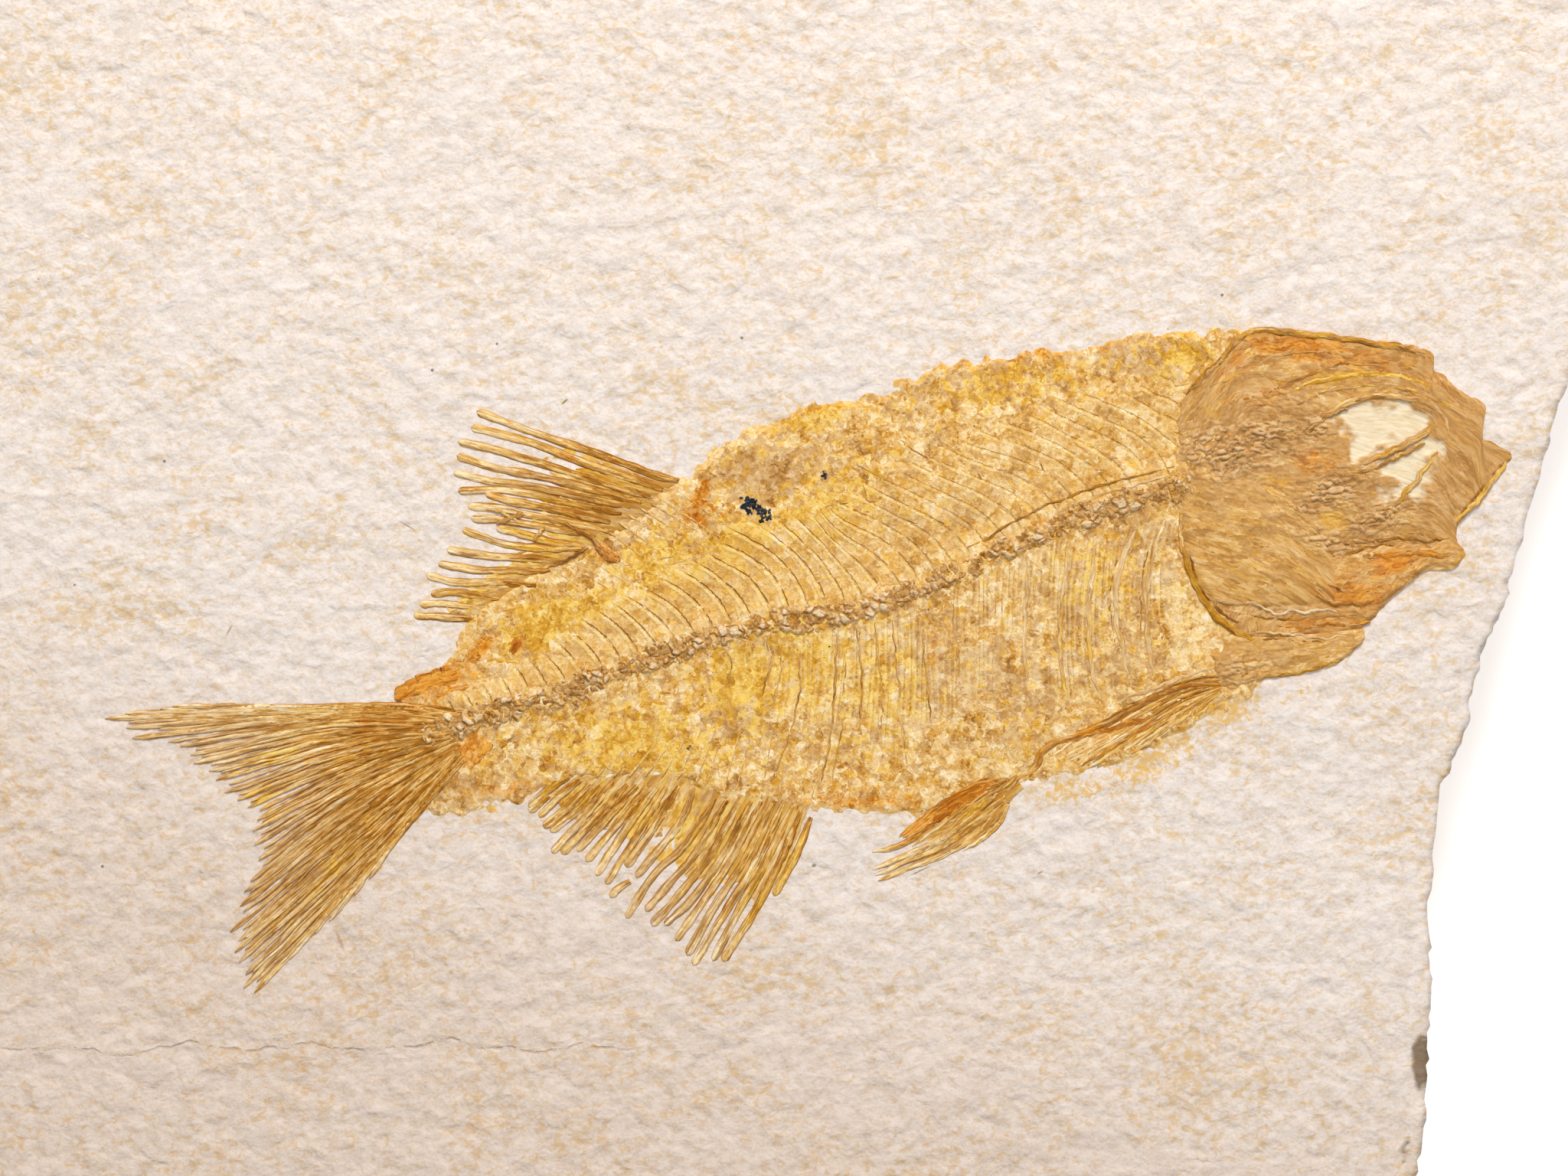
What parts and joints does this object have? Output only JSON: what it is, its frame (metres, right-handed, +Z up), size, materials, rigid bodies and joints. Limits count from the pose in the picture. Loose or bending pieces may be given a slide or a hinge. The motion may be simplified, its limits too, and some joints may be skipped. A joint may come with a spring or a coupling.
{
  "type": "fossil fish slab",
  "caption": "Loose plate of cream limestone with a flattened ochre-brown fossil fish, head, backbone, ribs and fins, lying on its bedding face.",
  "frame": {"origin": "middle of the slab's flat underside", "axes": "+X along the slab's long side, from the fish's tail to its head; +Y across it, towards the fish's back; +Z up out of the face that holds the fish"},
  "size_m": [0.134, 0.11, 0.0102],
  "materials": {
    "limestone": "matte, fine grained",
    "skin_film": "matte, crumbly",
    "vertebra_bone": "matte, crumbly",
    "head_bone": "satin, streaked",
    "fin_bone": "matte, fibrous",
    "black_mineral": "glinting crystals"
  },
  "bodies": {
    "root": {"matrix_slab": "limestone", "flank_skin": "skin_film", "backbone": "vertebra_bone", "skull": "head_bone", "gill_cover": "head_bone", "lower_jaw": "head_bone", "shoulder_bone": "head_bone", "dorsal_fin": "fin_bone", "anal_fin": "fin_bone", "tail_fin": "fin_bone", "pelvic_fin": "fin_bone", "pectoral_fin": "fin_bone", "mineral_speck": "black_mineral"}
  },
  "joints": []
}
